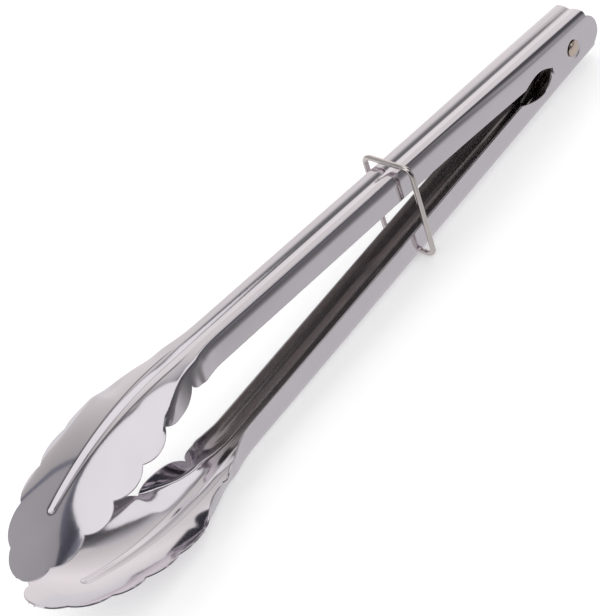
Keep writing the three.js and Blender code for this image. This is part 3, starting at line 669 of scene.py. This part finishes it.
def dull_and_shaded_inside(finish, pale, dark, gloss, crease_shade_tone):
    """The rolled, streaky inside, darkened with painted shade, and a painted shade line at the bead's foot."""
    nodes, links = finish.node_tree.nodes, finish.node_tree.links
    shader, worked = nodes["Principled BSDF"], nodes["Group"]
    polish_and_shade = mesh_mask(finish, "polish_and_shade")
    polished = shader.inputs["Base Color"].links[0].from_socket
    rolled_and_shaded = blended(finish, worked.outputs["Grain"], dark, pale)
    sheet_tone = blended(finish, polish_and_shade, rolled_and_shaded, polished)
    links.new(blended(finish, mesh_mask(finish, "crease"), sheet_tone, crease_shade_tone), shader.inputs["Base Color"])
    rough = nodes.new("ShaderNodeMix")
    links.new(polish_and_shade, rough.inputs["Factor"])
    rough.inputs["A"].default_value = gloss
    links.new(worked.outputs["Roughness"], rough.inputs["B"])
    links.new(rough.outputs["Result"], shader.inputs["Roughness"])


sheet_steel = steel("sheet_steel", pale=(0.775, 0.73, 0.782), dark=(0.695, 0.655, 0.702),
                    Gloss=0.05, Gloss_Spread=0.05)
# The inside's darker tones are painted shade, and the crease tone is a painted shade line at the bead's foot.
dull_and_shaded_inside(sheet_steel, pale=(0.62, 0.585, 0.59), dark=(0.38, 0.355, 0.36), gloss=0.15,
           crease_shade_tone=(0.13, 0.115, 0.125))


def plain_mesh(piece):
    """The piece's mesh with its modifiers worked in. They are removed."""
    bpy.context.view_layer.update()
    made = bpy.data.meshes.new_from_object(piece.evaluated_get(bpy.context.evaluated_depsgraph_get()))
    piece.modifiers.clear()
    return made


lower_arm = arm_piece("lower_arm_sheet", INNER_ARM, False)
upper_arm = arm_piece("upper_arm_sheet", OUTER_ARM, True)
bore_turns = [2 * math.pi * k / BORE_SIDES for k in range(BORE_SIDES)]
bore_points = [(BORE_RADIUS * math.cos(turn), side * BORE_REACH, BORE_RADIUS * math.sin(turn))
               for side in (1, -1) for turn in bore_turns]
bore_faces = [tuple(range(BORE_SIDES)), tuple(range(2 * BORE_SIDES - 1, BORE_SIDES - 1, -1))]
for k in range(BORE_SIDES):
    ahead = (k + 1) % BORE_SIDES
    bore_faces.append((k, k + BORE_SIDES, ahead + BORE_SIDES, ahead))
for piece in (lower_arm, upper_arm):
    drill = shown_mesh("drill", in_frame(bore_points).tolist(), bore_faces)
    cut = piece.modifiers.new("bore", "BOOLEAN")
    cut.object = drill
    cut.operation = "DIFFERENCE"
    cut.solver = "EXACT"
    piece.data = plain_mesh(piece)
    bpy.data.objects.remove(drill)
    piece.data.materials.clear()
    piece.data.materials.append(sheet_steel)
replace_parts(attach(lower_arm, "lower"), "lower_arm")
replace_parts(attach(upper_arm, "upper"), "upper_arm")


# Rivet: the turned pin of warmer steel that both arms swing on. It goes through all four ears, and each of
# its low domed heads lies in the dished seat of an outer ear.
RIVET_RADIUS = 2.4
RIVET_HEAD_RADIUS = 4.1
RIVET_HEAD_HEIGHT = 1.3
RIVET_SIDES = 64
DOME_STEPS = 12
DOME_FULLNESS = 0.9


def turned_pin(name, profile, steps):
    """Turns a profile of (radius, place) pairs round the pivot's axis."""
    rings = len(profile) - 2
    points = [(0, profile[0][1], 0)]
    turns = [2 * math.pi * k / steps for k in range(steps)]
    for radius, y in profile[1:-1]:
        points += [(radius * math.cos(turn), y, radius * math.sin(turn)) for turn in turns]
    points.append((0, profile[-1][1], 0))
    pairs = [(k, (k + 1) % steps) for k in range(steps)]
    faces = [(0, 1 + k, 1 + ahead) for k, ahead in pairs]
    for a in range(1, 1 + (rings - 1) * steps, steps):
        faces += [(a + k, a + steps + k, a + steps + ahead, a + ahead) for k, ahead in pairs]
    last, a = len(points) - 1, 1 + (rings - 1) * steps
    faces += [(last, a + ahead, a + k) for k, ahead in pairs]
    return shown_mesh(name, in_frame(points).tolist(), faces)


head_seat = CHANNEL_WIDTH / 2 + OUTER_ARM["flare"] - SEAT_DEPTH + RUNNING_GAP
dome = (RIVET_HEAD_RADIUS ** 2 + RIVET_HEAD_HEIGHT ** 2) / (2 * RIVET_HEAD_HEIGHT)
# Half the pin's outline, from the middle: the shank, the head's flat underside, its rounded edge, the dome.
half_pin = [
    (RIVET_RADIUS, 0), (RIVET_RADIUS, head_seat - 0.02), (RIVET_RADIUS + 0.05, head_seat),
    (RIVET_HEAD_RADIUS - 0.12, head_seat), (RIVET_HEAD_RADIUS - 0.02, head_seat + 0.05),
    (RIVET_HEAD_RADIUS, head_seat + 0.14)]
for k in range(1, DOME_STEPS):
    radius = RIVET_HEAD_RADIUS * (1 - k / DOME_STEPS) ** 0.8
    drop = (dome - math.sqrt(dome ** 2 - radius ** 2)) * DOME_FULLNESS
    half_pin.append((radius, head_seat + RIVET_HEAD_HEIGHT - drop))
half_pin.append((0, head_seat + RIVET_HEAD_HEIGHT))
rivet = turned_pin("rivet", [(r, -y) for r, y in half_pin[:0:-1]] + half_pin, RIVET_SIDES)
rivet.data.shade_smooth()
rivet.data.materials.append(steel(
    "rivet_steel", pale=(0.8, 0.66, 0.58), dark=(0.68, 0.55, 0.48), Gloss=0.07, Gloss_Spread=0.06,
    Grain_Along=900.0, Grain_Across=900.0, Cloud_Scale=300.0))
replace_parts(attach(rivet, "lower"), "pivot_rivet")


# Torsion spring: a coil of hard drawn wire round the rivet, between the ears. One straight leg lies under
# the back of each arm, and they push the arms open.
SPRING_WIRE = 1.4
SPRING_RADIUS = 4.4
SPRING_PITCH = 1.95
SPRING_TURNS = 3
SPRING_LEG = 34.0
COIL_STEPS = 140
LEG_STEPS = 24


def wire_tree():
    """Geometry Nodes: a round wire along the object's path, with its corners bent to a radius."""
    tree = bpy.data.node_groups.new("bent_wire", "GeometryNodeTree")
    face = tree.interface
    face.new_socket("Path", in_out="INPUT", socket_type="NodeSocketGeometry")
    for socket, kind, value in (("Wire Diameter", "NodeSocketFloat", 0.002),
                                ("Bend Radius", "NodeSocketFloat", 0.004), ("Sides", "NodeSocketInt", 20)):
        face.new_socket(socket, in_out="INPUT", socket_type=kind).default_value = value
    face.new_socket("Finish", in_out="INPUT", socket_type="NodeSocketMaterial")
    face.new_socket("Wire", in_out="OUTPUT", socket_type="NodeSocketGeometry")
    nodes, links = tree.nodes, tree.links
    given, put = nodes.new("NodeGroupInput"), nodes.new("NodeGroupOutput")
    line = nodes.new("GeometryNodeMeshToCurve")
    bends = nodes.new("GeometryNodeFilletCurve")
    bends.mode = "POLY"
    bends.inputs["Count"].default_value = 10
    radius = nodes.new("ShaderNodeMath")
    radius.operation = "MULTIPLY"
    radius.inputs[1].default_value = 0.5
    circle = nodes.new("GeometryNodeCurvePrimitiveCircle")
    tube = nodes.new("GeometryNodeCurveToMesh")
    tube.inputs["Fill Caps"].default_value = True
    smooth = nodes.new("GeometryNodeSetShadeSmooth")
    real = nodes.new("GeometryNodeRealizeInstances")
    finish = nodes.new("GeometryNodeSetMaterial")
    links.new(given.outputs["Path"], line.inputs["Mesh"])
    links.new(line.outputs["Curve"], bends.inputs["Curve"])
    links.new(given.outputs["Bend Radius"], bends.inputs["Radius"])
    links.new(given.outputs["Wire Diameter"], radius.inputs[0])
    links.new(radius.outputs[0], circle.inputs["Radius"])
    links.new(given.outputs["Sides"], circle.inputs["Resolution"])
    links.new(bends.outputs["Curve"], tube.inputs["Curve"])
    links.new(circle.outputs["Curve"], tube.inputs["Profile Curve"])
    links.new(tube.outputs["Mesh"], smooth.inputs["Geometry"])
    links.new(smooth.outputs["Geometry"], real.inputs["Geometry"])
    links.new(real.outputs["Geometry"], finish.inputs["Geometry"])
    links.new(given.outputs["Finish"], finish.inputs["Material"])
    links.new(finish.outputs["Geometry"], put.inputs["Wire"])
    return tree


bent_wire = wire_tree()


def wire_piece(name, points, closed, **settings):
    """A path of points made into a wire, as a plain mesh."""
    edges = [(k, k + 1) for k in range(len(points) - 1)] + ([(len(points) - 1, 0)] if closed else [])
    mesh = bpy.data.meshes.new(name)
    mesh.from_pydata(in_frame(points).tolist(), edges, [])
    piece = bpy.data.objects.new(name, mesh)
    bpy.context.scene.collection.objects.link(piece)
    shaping = piece.modifiers.new("wire", "NODES")
    shaping.node_group = bent_wire
    names = {item.name: item.identifier for item in bent_wire.interface.items_tree if item.in_out == "INPUT"}
    for socket, value in settings.items():
        shaping[names[socket.replace("_", " ")]] = value
    piece.data = plain_mesh(piece)
    return piece


leg_height = BACK_HEIGHT - SHEET - RUNNING_GAP - SPRING_WIRE / 2
leg_reach = math.hypot(SPRING_LEG, SPRING_RADIUS)
leg_angle = math.asin(leg_height / leg_reach) - math.atan2(SPRING_RADIUS, SPRING_LEG)
last_turn = SPRING_TURNS * 2 * math.pi + math.pi - leg_angle - OPEN_ANGLE
coil_width = SPRING_PITCH * (last_turn - leg_angle) / (2 * math.pi)


def on_coil(turn, out=0.0):
    """A point of the spring's middle line, and beyond the coil along its leg."""
    x = -SPRING_RADIUS * math.sin(turn) - out * math.cos(turn)
    y = SPRING_PITCH * (turn - leg_angle) / (2 * math.pi) - coil_width / 2
    return (x, y, -SPRING_RADIUS * math.cos(turn) + out * math.sin(turn))


spring_path = [on_coil(leg_angle, -SPRING_LEG * (1 - k / LEG_STEPS)) for k in range(LEG_STEPS)]
spring_path += [on_coil(mix(leg_angle, last_turn, k / COIL_STEPS)) for k in range(COIL_STEPS + 1)]
spring_path += [on_coil(last_turn, SPRING_LEG * k / LEG_STEPS) for k in range(1, LEG_STEPS + 1)]
# The wire's dark tone is painted shade, so that the coil and its legs sit in the shade between the ears.
shaded_spring_wire = steel("shaded_spring_wire", pale=(0.22, 0.21, 0.2), dark=(0.14, 0.13, 0.125),
                    Gloss=0.22, Gloss_Spread=0.1, Cloud_Scale=400.0)
spring = wire_piece("spring", spring_path, False, Wire_Diameter=SPRING_WIRE * 0.001, Bend_Radius=0.0,
                    Sides=16, Finish=shaded_spring_wire)
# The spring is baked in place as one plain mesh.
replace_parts(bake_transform(spring), "torsion_spring")


# Lock ring: one bright wire bent to a rectangle with round corners, loose round both arms. It slides along
# them and bears on both backs, which holds them shut.
RING_WIRE = 2.6
RING_WIDTH = 26.4
RING_PLAY = 1.2
RING_CORNER = 4.0
RING_PLACE = 131.0
RING_LEAN = math.radians(2.1)

off_back = BACK_HEIGHT + RUNNING_GAP + RING_WIRE / 2
ring_rise = off_back * (1 + math.cos(OPEN_ANGLE)) + RING_PLACE * math.sin(OPEN_ANGLE)
ring_height = ring_rise / math.cos(OPEN_ANGLE - RING_LEAN) + RING_PLAY
ring_path = [
    (RING_PLACE - up * math.sin(RING_LEAN), side * RING_WIDTH / 2, up * math.cos(RING_LEAN) - off_back)
    for side, up in ((1, 0), (1, ring_height), (-1, ring_height), (-1, 0))
]
ring_wire = steel("ring_wire", pale=(0.77, 0.71, 0.7), dark=(0.67, 0.615, 0.605),
                  Gloss=0.02, Gloss_Spread=0.03, Cloud_Scale=300.0)
ring = wire_piece("ring", ring_path, True, Wire_Diameter=RING_WIRE * 0.001, Bend_Radius=RING_CORNER * 0.001,
                  Sides=32, Finish=ring_wire)
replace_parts(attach(ring, "ring"), "lock_ring")
